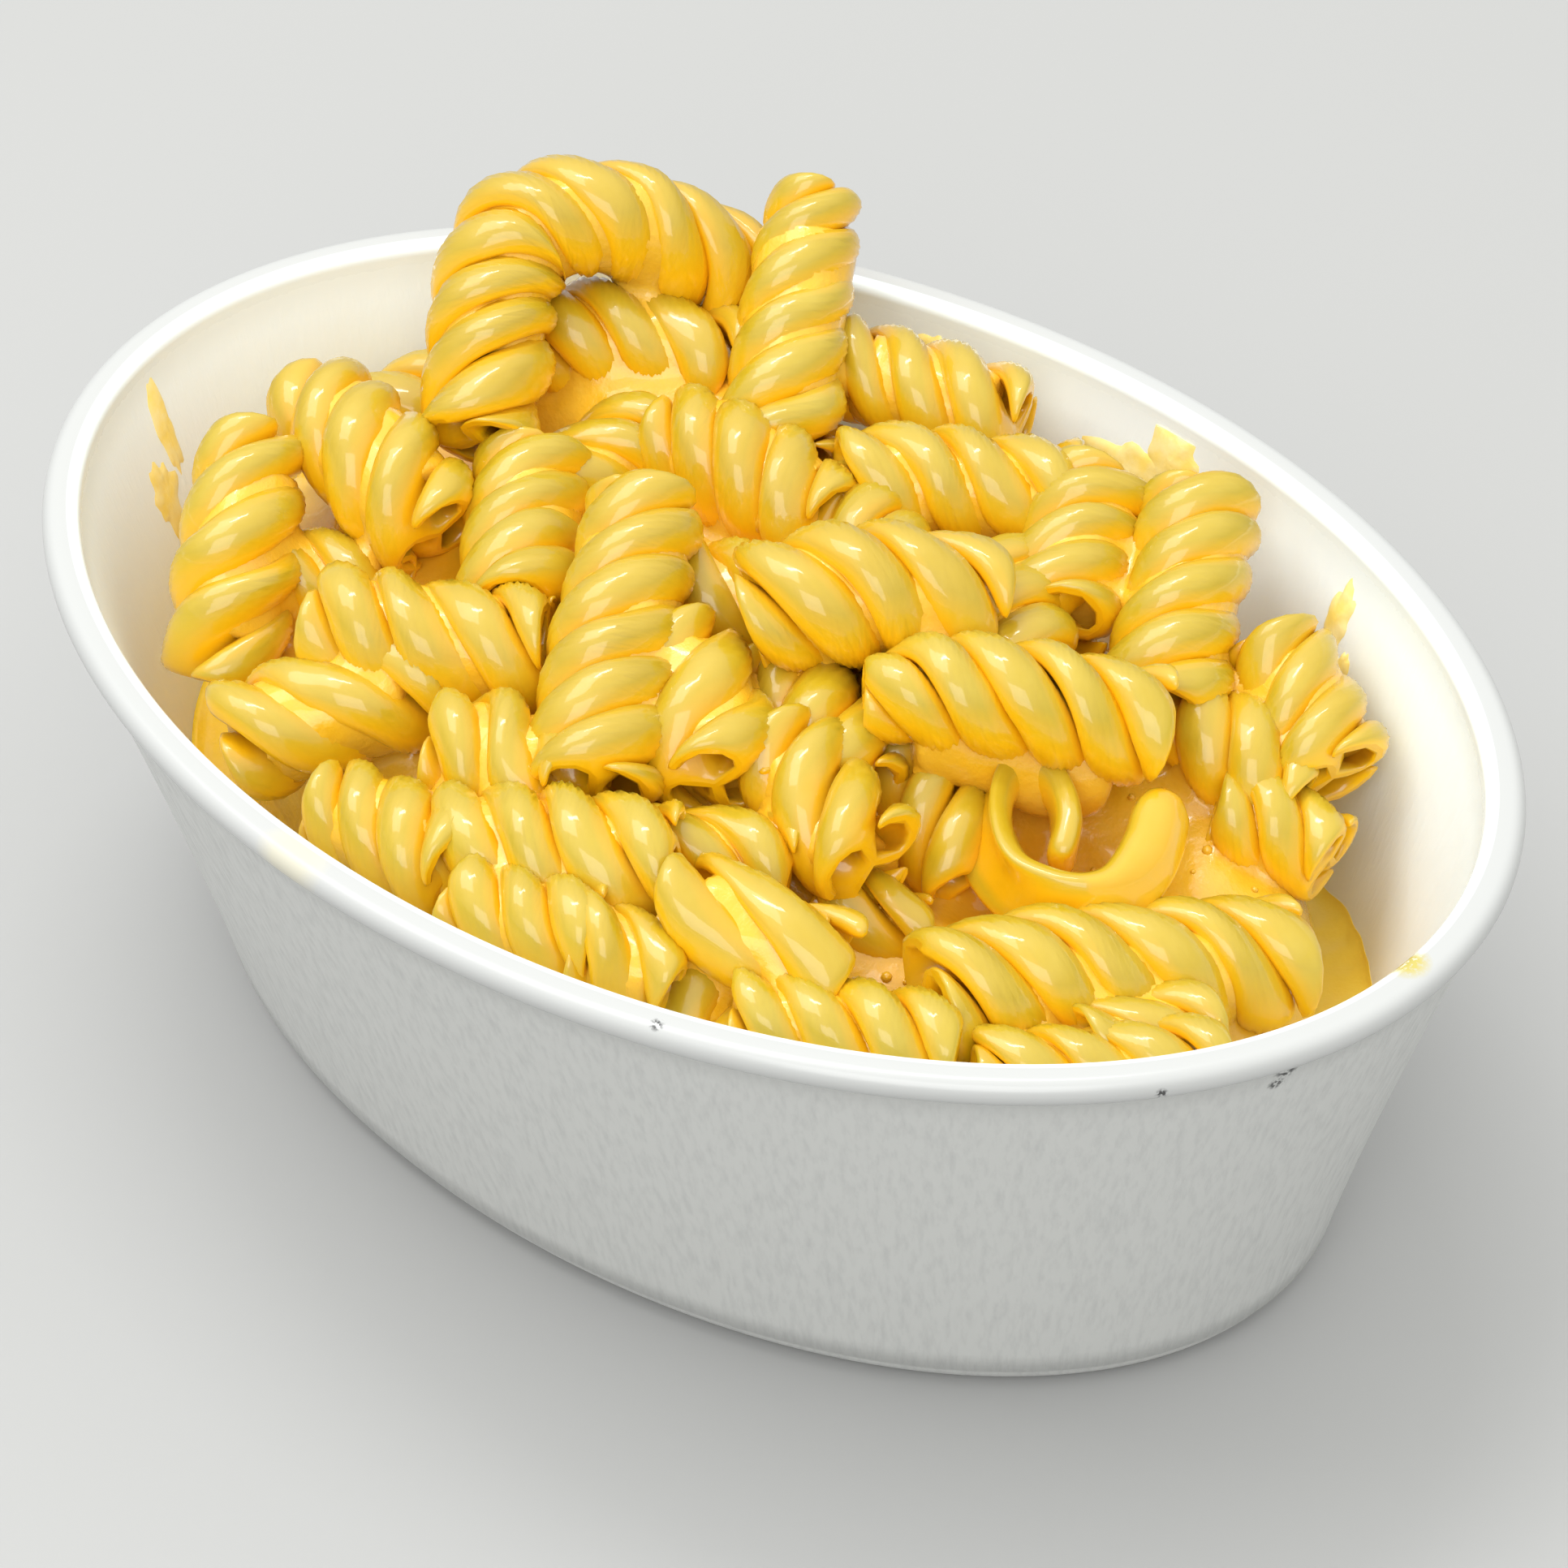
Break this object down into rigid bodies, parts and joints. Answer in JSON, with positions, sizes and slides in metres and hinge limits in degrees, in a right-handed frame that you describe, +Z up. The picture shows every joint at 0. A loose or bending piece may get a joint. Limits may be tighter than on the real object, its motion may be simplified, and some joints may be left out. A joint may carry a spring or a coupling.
{
  "type": "prepared food",
  "caption": "Macaroni and cheese: spiral pasta in cheese sauce heaped in a white oval side dish with a flared wall and a rolled rim.",
  "frame": {"origin": "centre of the dish's flat foot", "axes": "+X along the long way of the oval dish, +Y across it, +Z up; the heap is highest towards -X and +Y"},
  "size_m": [0.146, 0.101, 0.0688],
  "materials": {
    "dish": "white melamine, satin and finely scratched outside, glossy on the rim",
    "sauce": "thick orange-yellow cheese sauce, wet and glossy",
    "pasta": "cooked pasta coated in thin cheese sauce, golden yellow, moist and slightly see-through"
  },
  "bodies": {
    "root": {"dish": "dish", "cheese_sauce": "sauce", "rotini_heap": "pasta"}
  },
  "joints": []
}
